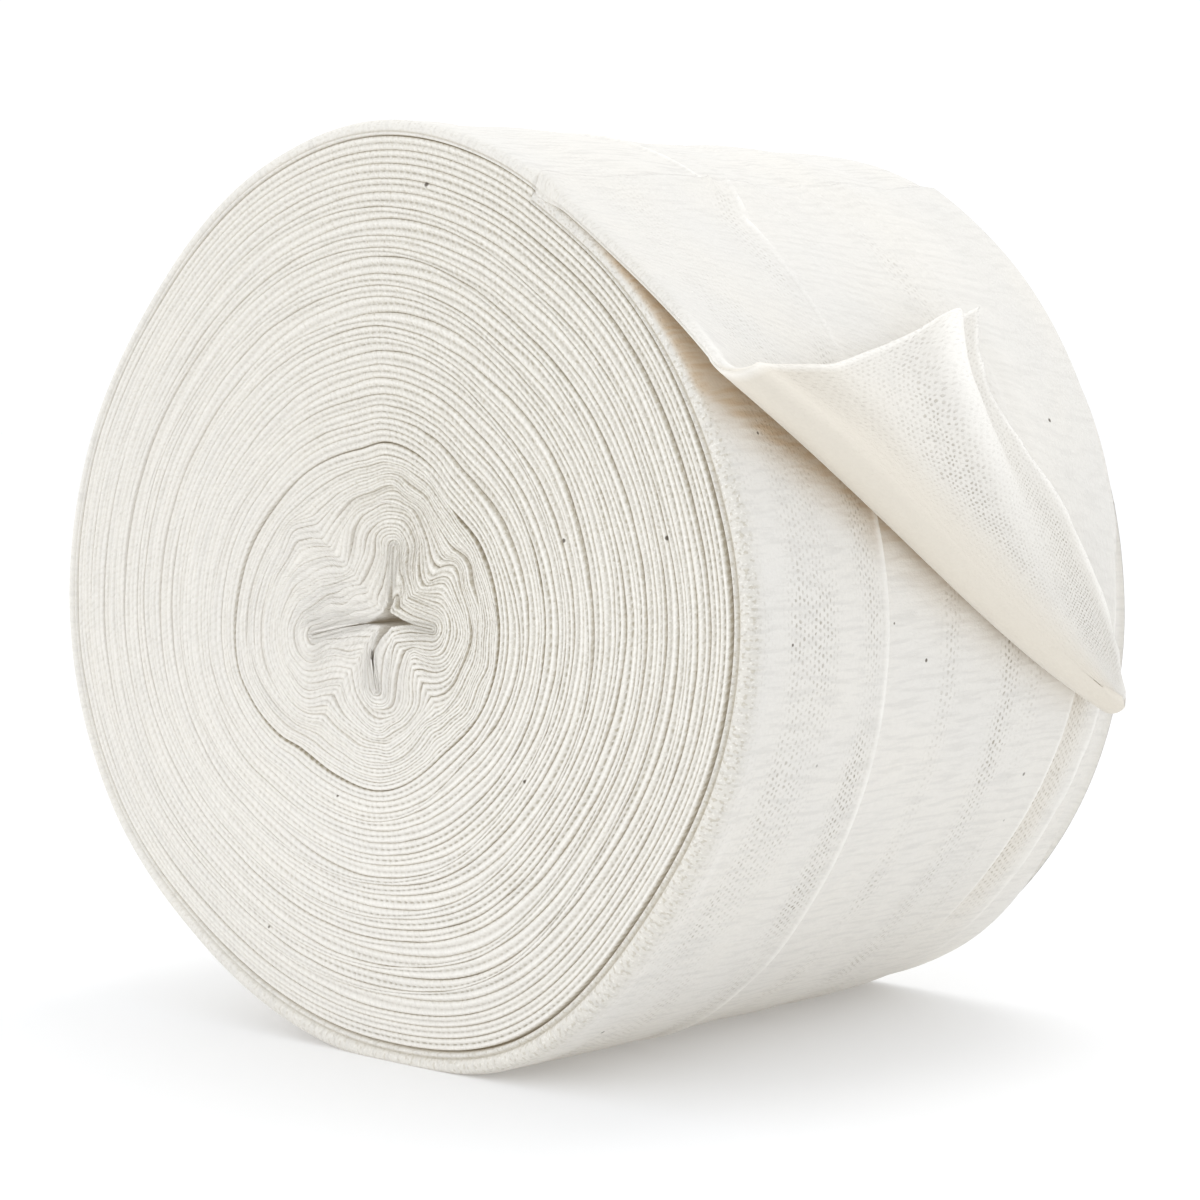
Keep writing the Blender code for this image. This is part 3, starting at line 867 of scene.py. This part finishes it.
def loose_end_clocks(across):
    """Clocks of the free end's rows in each column: up to the crease, in it and beyond."""
    crease_clock, slant = crease(across)
    fold_length = np.pi * bend_radius(across) / np.cos(slant)
    fold_end = crease_clock + np.degrees(fold_length / CLOTH_RADIUS)
    last = np.maximum(read_table(CUT_END, across), fold_end + LEAST_TURNED_BACK)
    rows = []
    for start, end, steps in (
        (LAST_WOUND_CLOCK, crease_clock, ROWS_BEFORE_CREASE),
        (crease_clock, fold_end, ROWS_IN_FOLD),
        (fold_end, last, ROWS_TURNED_BACK),
    ):
        share = np.arange(steps)[:, None] / steps
        rows.append(start + (end - start) * share)
    return np.vstack([*rows, last[None]])


def free_end_places():
    """Places of the free end's columns across the flat tube, in metres."""
    places = []
    for kind, _, base, _ in COLUMNS:
        if kind == "near":
            places.append(0.0001 + END_EDGE_DEPTH * base)
        elif kind == "far":
            places.append(TUBE_WIDTH - 0.0004 - END_EDGE_DEPTH * base)
        else:
            start, end = END_EDGE_DEPTH + 0.001, TUBE_WIDTH - END_EDGE_DEPTH - 0.0013
            places.append(np.interp(base, (FIRST_STATION, LAST_STATION), (start, end)))
    return np.array(places)


def ragged_clocks(across, side):
    """The rows' clocks, with the last ones uneven along the cut."""
    clocks = loose_end_clocks(across)
    ragged = 0.35 * wander(across * 46.0, 2.0, 81) + 0.22 * wander(across * 150.0, 2.0, 82)
    uneven = 0.3 * np.where(side > 0.0, wander(across * 19.0, 7.0, 83), 0.0)
    rows = len(clocks)
    reach = smooth(np.arange(rows), rows - 10.0, rows - 1.0)
    return clocks + reach[:, None] * (ragged + uneven)


def free_end_normal(wide, clocks):
    ahead, behind = (loose_end_middle(wide, clocks + step)[0] for step in (0.15, -0.15))
    right, left = (loose_end_middle(wide + step, clocks)[0] for step in (0.004, -0.004))
    normal = np.cross(ahead - behind, right - left)
    return normal / np.linalg.norm(normal, axis=-1, keepdims=True)


def with_lips(values, lip):
    return np.concatenate([values, np.full((len(LIPS), values.shape[1]), lip)])


def free_end_loops():
    """Points of the flat tube laid in its folds, ending in the open cut mouth, the length
    run along it, and its looks."""
    side = np.array([column[1] for column in COLUMNS])
    across = free_end_places() / TUBE_WIDTH
    clocks = ragged_clocks(across, side)
    wide = np.broadcast_to(across, clocks.shape)
    middle, past_fold, to_cut = loose_end_middle(wide, clocks)
    normal = free_end_normal(wide, clocks)
    half = CLOTH_THICKNESS / 2.0 * (1.0 + 0.28 * unit(1.0 - to_cut / MOUTH_REACH) ** 2)
    place = wide * TUBE_WIDTH
    clock_on = clocks + 360.0
    to_fold = np.radians(crease(across)[0] - clocks) * CLOTH_RADIUS
    before_fold = smooth(to_fold, 0.0015, 0.0075)
    waves = skin_height(place, clock_on) * before_fold
    back_waves = 0.00028 * wander(place / 0.011, clocks / 6.0, 84)
    back_waves += 0.00016 * wander(place / 0.0045, clocks / 3.3, 85)
    back_waves = back_waves * smooth(past_fold, 0.0, 0.008)
    offset = side * half + waves * smooth(side, -0.2, 0.8) - back_waves * smooth(-side, -0.2, 0.8)
    rows = [middle + normal * offset[..., None]]
    # The mouth: each ply ends in a lip of its own, with the open tube between them.
    for share, back in LIPS:
        centre = loose_end_middle(across, clocks[-1] - np.degrees(back / CLOTH_RADIUS))[0]
        rows.append((centre + normal[-1] * (side * half[-1] * share)[:, None])[None])
    points = np.concatenate(rows)
    # The first row takes up the outermost turn's last one.
    seam = outer_points[-1] - points[0]
    run = path_lengths(points[:, len(COLUMNS) // 2])
    points = points + (1.0 - smooth(run, 0.0, SEAM_REACH))[:, None, None] * seam

    turned_back = past_fold / np.maximum(past_fold + np.maximum(to_cut, 0.0), 0.001)
    loops = band(turned_back, 0.16, 0.34, 0.8, 0.92) * smooth(past_fold, 0.002, 0.006)
    loops = loops * (1.0 - 0.8 * bump(to_cut, CREST_FROM_CUT, 0.0045))
    loops = loops * (0.85 + 0.35 * wander(place / 0.012, clocks / 5.0, 86))
    loops = loops * (0.35 + 0.65 * smooth(across, 0.04, 0.3))
    loops = np.maximum(loops, 0.24 * smooth(past_fold, 0.0, 0.006))
    loops = unit(open_bands(place, clock_on) * before_fold + loops)
    # Painted shade: in the fold, fading over the turned-back cloth, on the underside of the free
    # end before its fold, and at the lips of the cut mouth.
    in_fold = smooth(-to_fold, 0.0, 0.004) * smooth(-side, -0.3, 0.3)
    beneath = smooth(-side, 0.5, 1.0) * smooth(to_fold, 0.0, 0.002) * smooth(clocks, 29.0, 36.0)
    warm_shade = np.maximum(in_fold * (1.0 - 0.85 * smooth(turned_back, 0.0, 0.4)), 0.8 * beneath)
    # Painted highlights: the lit crest of the turned-back cloth, its cut edge, its near rim, and
    # the crease and edges before the fold.
    crest = bump(to_cut, CREST_FROM_CUT, 0.0035) * (1.0 - smooth(across, *CREST_FADE))
    near_rim_highlight = bump(place, 0.0007, 0.0007) * smooth(-to_fold, -0.012, 0.0)
    crest = crest * smooth(past_fold, 0.0, 0.006)
    highlight_lines = crease_highlights(place, clock_on) * before_fold * smooth(side, 0.8, 1.0)
    for line in (bump(to_cut, 0.0, 0.0011), crest, 0.8 * near_rim_highlight):
        highlight_lines = np.maximum(highlight_lines, line)
    rims = np.array([END_RIM * rim_share(kind, side) for kind, side, _, _ in COLUMNS])
    looks = {
        "open": with_lips(loops, 0.0),
        "warm_shade": with_lips(warm_shade, 0.4),
        "ridge": with_lips(highlight_lines, 0.0),
        "rim": rims,
    }
    return points, run, looks


end_points, end_run, end_looks = free_end_loops()
end_along = outer_along[-1] + end_run
end_looks["tone"] = tone(end_along)
free_end = cloth_object(
    "free_end",
    end_points,
    end_along,
    run_of(loop_steps(outer_points[-2:]).mean(axis=0)),
    end_looks,
)


# ---- materials
class Graph:
    """Short calls for building a node tree."""

    def __init__(self, owner):
        owner.use_nodes = True
        self.tree = owner.node_tree
        self.tree.nodes.clear()

    def feed(self, socket, value):
        if isinstance(value, bpy.types.NodeSocket):
            self.tree.links.new(value, socket)
        else:
            socket.default_value = value

    def node(self, kind, inputs=(), **settings):
        made = self.tree.nodes.new(kind)
        for key, value in settings.items():
            setattr(made, key, value)
        for key, value in dict(inputs).items():
            self.feed(made.inputs[key], value)
        return made

    def math(self, operation, a, b=0.0, c=0.0):
        return self.node("ShaderNodeMath", {0: a, 1: b, 2: c}, operation=operation).outputs[0]

    def times(self, a, b):
        return self.math("MULTIPLY", a, b)

    def ramp(self, value, start, end, low=0.0, high=1.0):
        limits = {"From Min": start, "From Max": end, "To Min": low, "To Max": high}
        return self.node("ShaderNodeMapRange", {"Value": value, **limits}).outputs["Result"]

    def mix(self, share, a, b):
        return self.node("ShaderNodeMix", {0: share, 6: a, 7: b}, data_type="RGBA").outputs[2]

    def vector(self, operation, a, b, c=(0.0, 0.0, 0.0), output=0):
        made = self.node("ShaderNodeVectorMath", {0: a, 1: b, 2: c}, operation=operation)
        return made.outputs[output]

    def noise(self, vector, scale, detail=2.0, output=0):
        inputs = {"Vector": vector, "Scale": scale, "Detail": detail}
        return self.node("ShaderNodeTexNoise", inputs).outputs[output]

    def attribute(self, name):
        return self.node("ShaderNodeAttribute", attribute_name=name).outputs["Fac"]


WALE = 0.95                   # knit columns, side by side across the tube, in millimetres
COURSE = 1.1                  # knit rows, one after another along the tube
BEAD = 1.3                    # loops along a folded edge
RIB = 1.5                     # faint ribs across the tube

COTTON = (0.762, 0.748, 0.711, 1.0)
COTTON_PALE = (0.775, 0.766, 0.736, 1.0)
COTTON_WARM = (0.835, 0.805, 0.735, 1.0)
# Painted shade, the colour of shade lit through the cotton: in the free end's fold, beneath it,
# at the cut mouth and beyond the far step.
CREAM_SHADE = (0.7, 0.655, 0.57, 1.0)
# Duller grey: painted shade on the near face's upper right, and the tint of the puffed near edge,
# partly its end-on loops and partly painted shade.
COTTON_DULL_AND_SHADED = (0.62, 0.6, 0.54, 1.0)
# Bright worn grains of the cotton, and the colour of painted highlights on ridges, creases and
# edges.
WORN_GRAIN_AND_HIGHLIGHT = (0.95, 0.94, 0.905, 1.0)
# Painted shade in the grooves and valleys between turns and plies, and in the gaps of loops seen
# end on.
GROOVE_SHADE = (0.39, 0.35, 0.255, 1.0)
HOLE = (0.3, 0.275, 0.215, 1.0)
SHADE = (0.56, 0.42, 0.27, 1.0)
FLECK = (0.03, 0.022, 0.015, 1.0)
# A faint painted glow, the colour of light through cotton.
THROUGH_COTTON = (1.0, 0.8, 0.55, 1.0)
GLOW = 0.06

# Dark flecks in the cotton of the outer cloth. Columns: clock, then place, size and height
# above the wound turns, in millimetres.
SIDE_FLECKS = (
    (64.2, 14.6, 0.24, 0.0), (67.7, 9.2, 0.22, 0.0), (105.9, 18.9, 0.37, 0.0),
    (111.5, 75.4, 0.4, 0.0), (118.1, 75.4, 0.34, 0.0), (134.9, 22.6, 0.34, 0.0),
    (148.1, 9.2, 0.32, 0.0), (91.5, 9.1, 0.21, 0.0), (90.3, 33.2, 0.22, 0.0),
    (95.0, 41.8, 0.3, 0.0), (47.8, 21.2, 0.33, 2.9), (43.2, 9.2, 0.28, 2.7),
    (67.5, 82.1, 0.33, 2.1),
)
# Flecks on the near face. Columns: clock, share of the roll's radius and size in millimetres.
FACE_FLECKS = (
    (10.0, 0.898, 0.4), (73.0, 0.556, 0.32), (77.5, 0.82, 0.34), (128.0, 0.54, 0.28),
    (196.0, 0.43, 0.28), (205.0, 0.8, 0.28),
)


def side_place(clock, across, lift):
    """A place on the roll's side; across and lift are in millimetres."""
    along = across * MILLIMETRE
    radius = roll_radius(np.float64(clock), along) + lift * MILLIMETRE
    x, z = radius * direction(clock)
    return (float(x), NEAR_RIM + along, AXIS_HEIGHT + float(z))


def face_place(clock, share):
    x, z = ROLL_RADIUS * share * direction(clock)
    return (float(x), NEAR_RIM + 0.0006, AXIS_HEIGHT + float(z))


FLECKS = [(side_place(clock, across, lift), size) for clock, across, size, lift in SIDE_FLECKS]
FLECKS += [(face_place(clock, share), size) for clock, share, size in FACE_FLECKS]


def dimmed(colour, share):
    return (colour[0] * share, colour[1] * share, colour[2] * share, 1.0)


class Knit(Graph):
    """Cotton knit: its colour and its relief are built up one kind of loop at a time."""

    def __init__(self, name, base):
        self.material = bpy.data.materials.new(name)
        super().__init__(self.material)
        self.base = base
        uv = self.node("ShaderNodeUVMap", uv_map="cloth").outputs["UV"]
        self.fine = self.vector("MULTIPLY", uv, (1000.0, 1000.0, 0.0))
        shake = self.vector(
            "SUBTRACT", self.noise(self.fine, 0.35, output="Color"), (0.5, 0.5, 0.5)
        )
        shaken = self.vector("MULTIPLY_ADD", shake, (1.5, 1.5, 0.0), self.fine)
        self.across, self.along, _ = self.node("ShaderNodeSeparateXYZ", {0: shaken}).outputs
        tick = self.noise(self.fine, 1.15, 3.0)
        broad = self.noise(self.fine, 0.045, 3.0)
        self.colour = self.mix(
            self.ramp(self.attribute("tone"), -0.8, 0.8), base, dimmed(base, 0.94)
        )
        self.tint(COTTON_WARM, self.ramp(broad, 0.35, 0.65, 0.0, 0.3))
        self.tint(dimmed(base, 0.8), self.ramp(tick, 0.3, 0.7, 0.0, 0.2))
        self.height = self.times(self.noise(self.fine, 3.1), 0.35)
        self.swell(tick, 0.6)

    def tint(self, colour, share, strength=None):
        """Brings the colour towards another by a share, times a strength."""
        share = share if strength is None else self.times(share, strength)
        self.colour = self.mix(share, self.colour, colour)

    def swell(self, value, size):
        self.height = self.math("ADD", self.height, self.times(value, size))

    def speckle(self, worn, worn_most, scale, dark_from, dark_to, dark_most, dark_share):
        """Worn bright grains, and painted shade in the gaps of loops that are seen end on."""
        specks = self.ramp(self.noise(self.fine, scale, 1.0), dark_from, dark_to, 0.0, dark_most)
        grain = self.ramp(self.noise(self.fine, 2.6, 1.0), 0.56, 0.68, 0.0, worn_most)
        self.tint(WORN_GRAIN_AND_HIGHLIGHT, grain, worn)
        specks = self.times(specks, dark_share)
        self.tint(GROOVE_SHADE, specks)
        return specks

    def beads(self):
        """The loops that turn over a folded edge, so that its lines of painted shade break into
        dashes.
        """
        turned = self.times(self.along, 2.0 * math.pi / BEAD)
        phase = self.math("MULTIPLY_ADD", self.across, 2.6, turned)
        later = self.math("SINE", self.math("ADD", phase, 2.2))
        # Painted shade, darker and more speckled, on the upper right of the near face.
        loose = self.attribute("loose")
        self.tint(COTTON_DULL_AND_SHADED, loose, 0.9)
        self.speckle(loose, 0.5, 1.9, 0.41, 0.31, 0.6, self.ramp(loose, 0.0, 1.0, 0.18, 1.0))
        dashes = self.ramp(self.math("SINE", phase), -0.6, 0.6, 0.12, 1.0)
        valley = self.times(self.attribute("valley"), dashes)
        self.tint(GROOVE_SHADE, valley)
        self.swell(later, 0.25)
        self.swell(valley, -0.8)
        return self.times(self.attribute("groove_shade"), self.ramp(later, -0.7, 0.5, 0.25, 1.0))

    def loops(self, strength):
        """Columns across and rows along, every second column half a row on, with the holes
        between them. The puffed edge shows its loops end on, as the wound face does."""
        column = self.math("DIVIDE", self.across, WALE)
        odd = self.math("PINGPONG", self.math("FLOOR", column), 1.0)
        row = self.math("ADD", self.math("DIVIDE", self.along, COURSE), self.times(odd, 0.5))
        squares = []
        for number in (column, row):
            within = self.math("SUBTRACT", self.math("FRACT", number), 0.5)
            squares.append(self.times(within, within))
        from_hole = self.math("SQRT", self.math("ADD", *squares))
        holes = self.times(self.ramp(from_hole, 0.15, 0.31, 1.0, 0.0), self.attribute("open"))
        patchy = self.ramp(self.noise(self.fine, 0.55, 3.0), 0.35, 0.62, 0.25, 1.0)
        holes = self.times(holes, patchy)
        # The puffed edge is tinted duller and speckled: partly its end-on loops, partly painted
        # shade.
        rim = self.attribute("rim")
        self.tint(COTTON_DULL_AND_SHADED, rim, 0.45)
        self.swell(self.speckle(rim, 0.45, 1.7, 0.46, 0.34, 0.42, rim), -1.0)
        self.tint(HOLE, holes, strength)
        self.swell(holes, -1.2 * strength)

    def courses(self, strength):
        """Faint rows across the tube, one for each course or two, browner in the shade."""
        rows = self.noise(self.vector("MULTIPLY", self.fine, (0.14, 1.1, 0.0)), 1.0, 3.0)
        self.tint(dimmed(self.base, 0.76), self.ramp(rows, 0.52, 0.36), strength)
        rib = self.math("SINE", self.times(self.along, 2.0 * math.pi / RIB))
        self.swell(rib, 0.22 * strength)
        self.swell(rows, 1.1 * strength)
        self.tint(SHADE, self.ramp(rows, 0.38, 0.6, 1.0, 0.62), self.attribute("shade"))

    def finish(self, groove_shade, relief):
        """Adds what every knit has, and the shader. Relief is in metres."""
        # Painted shade in folds, under the free end and below the far step.
        self.tint(CREAM_SHADE, self.attribute("warm_shade"), 0.85)
        # Painted highlights on ridges, creases and edges.
        self.tint(WORN_GRAIN_AND_HIGHLIGHT, self.attribute("ridge"), 0.75)
        # Painted shade in the grooves between plies and turns.
        self.tint(GROOVE_SHADE, groove_shade, 0.85)
        place = self.node("ShaderNodeTexCoord").outputs["Object"]
        for fleck, size in FLECKS:
            apart = self.vector("DISTANCE", place, fleck, output="Value")
            edge = (0.8 * size * MILLIMETRE, 1.3 * size * MILLIMETRE)
            self.tint(FLECK, self.ramp(apart, *edge, 0.9, 0.0))
        bump_inputs = {"Height": self.height, "Strength": 0.6, "Distance": relief}
        shader = self.node("ShaderNodeBsdfPrincipled", {
            "Base Color": self.colour,
            "Normal": self.node("ShaderNodeBump", bump_inputs).outputs["Normal"],
            "Roughness": 0.92,
            "Specular IOR Level": 0.12,
            "Sheen Weight": 0.1,
            "Sheen Roughness": 0.6,
            # A faint glow painted over the cotton stands in for light that comes through it and
            # keeps its creases warm.
            "Emission Color": THROUGH_COTTON,
            "Emission Strength": GLOW,
        })
        self.node("ShaderNodeOutputMaterial", {"Surface": shader.outputs[0]})
        return self.material


def face_knit():
    """The wound turns, which show their folded edges."""
    knit = Knit("turns_knit", COTTON)
    return knit.finish(knit.beads(), 0.00045)


def side_knit(name, loops, courses, relief):
    """The outermost cloth, which shows its columns and rows."""
    knit = Knit(name, COTTON_PALE)
    knit.loops(loops)
    knit.courses(courses)
    return knit.finish(knit.attribute("groove_shade"), relief)


turns_knit = face_knit()
skin_knit = side_knit("skin_knit", 0.95, 0.36, 0.00032)
end_knit = side_knit("end_knit", 1.0, 0.22, 0.00042)

dressed = [(piece, "wound_roll", "gauze", turns_knit) for piece, _ in wound_pieces]
dressed.append((outermost_turn, "wound_roll", "gauze", skin_knit))
dressed.append((free_end, "loose_end", "gauze_end", end_knit))
for piece, node, slot, material in dressed:
    piece.data.materials.append(material)
    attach(piece, "root")
    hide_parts(node)


# ---- floor and light
FLOOR_REACH = 4.0
FLOOR_GREY, FLOOR_GLOW = 0.77, 0.16
LIGHT_SIZE = 1.0
LIGHT_COLOUR = (1.0, 0.995, 0.98)
ROLL_MIDDLE = (0.0, 0.0, 0.07)
SKY_COLOUR = (0.985, 0.998, 1.02, 1.0)
SKY_FROM = (-0.3, 0.12, 0.946)
SKY_DIM, SKY_WHITE, SKY_TOP = 0.02, 1.03, 0.14
SKY_LEVEL = 0.15              # cosine of the angle from SKY_FROM where the sky is just white


def make_floor():
    mesh = bpy.data.meshes.new("floor")
    corners = ((-1.0, -1.0), (1.0, -1.0), (1.0, 1.0), (-1.0, 1.0))
    corners = [(x * FLOOR_REACH, y * FLOOR_REACH, 0.0) for x, y in corners]
    mesh.from_pydata(corners, [], [(0, 1, 2, 3)])
    material = bpy.data.materials.new("floor_pale")
    graph = Graph(material)
    shader = graph.node("ShaderNodeBsdfPrincipled", {
        "Base Color": (FLOOR_GREY, FLOOR_GREY, FLOOR_GREY, 1.0),
        "Roughness": 0.8,
        "Specular IOR Level": 0.1,
        "Emission Color": (1.0, 1.0, 1.0, 1.0),
        "Emission Strength": FLOOR_GLOW,
    })
    graph.node("ShaderNodeOutputMaterial", {"Surface": shader.outputs[0]})
    mesh.materials.append(material)
    add_object("floor", mesh)


def area_light(name, place, power):
    data = bpy.data.lights.new(name, "AREA")
    data.shape = "DISK"
    data.size = LIGHT_SIZE
    data.energy = power
    data.color = LIGHT_COLOUR
    light = add_object(name, data)
    light.location = place
    aim = Vector(ROLL_MIDDLE) - Vector(place)
    light.rotation_mode = "QUATERNION"
    light.rotation_quaternion = aim.to_track_quat("-Z", "Y")


def make_sky():
    """A soft white studio: brightest above and a little to the left."""
    world = bpy.data.worlds.new("studio")
    bpy.context.scene.world = world
    graph = Graph(world)
    towards = graph.node("ShaderNodeTexCoord").outputs["Generated"]
    facing = graph.vector("DOT_PRODUCT", towards, SKY_FROM, output="Value")
    strength = graph.math(
        "ADD",
        graph.ramp(facing, -1.0, SKY_LEVEL, SKY_DIM, SKY_WHITE),
        graph.ramp(facing, SKY_LEVEL, 1.0, 0.0, SKY_TOP),
    )
    back = graph.node("ShaderNodeBackground", {"Color": SKY_COLOUR, "Strength": strength})
    graph.node("ShaderNodeOutputWorld", {"Surface": back.outputs[0]})


make_floor()
make_sky()
area_light("key", (0.2, 0.55, 2.0), 7.0)
area_light("left", (-0.9, -1.6, 0.4), 5.0)
bpy.context.scene.view_settings.view_transform = "Standard"
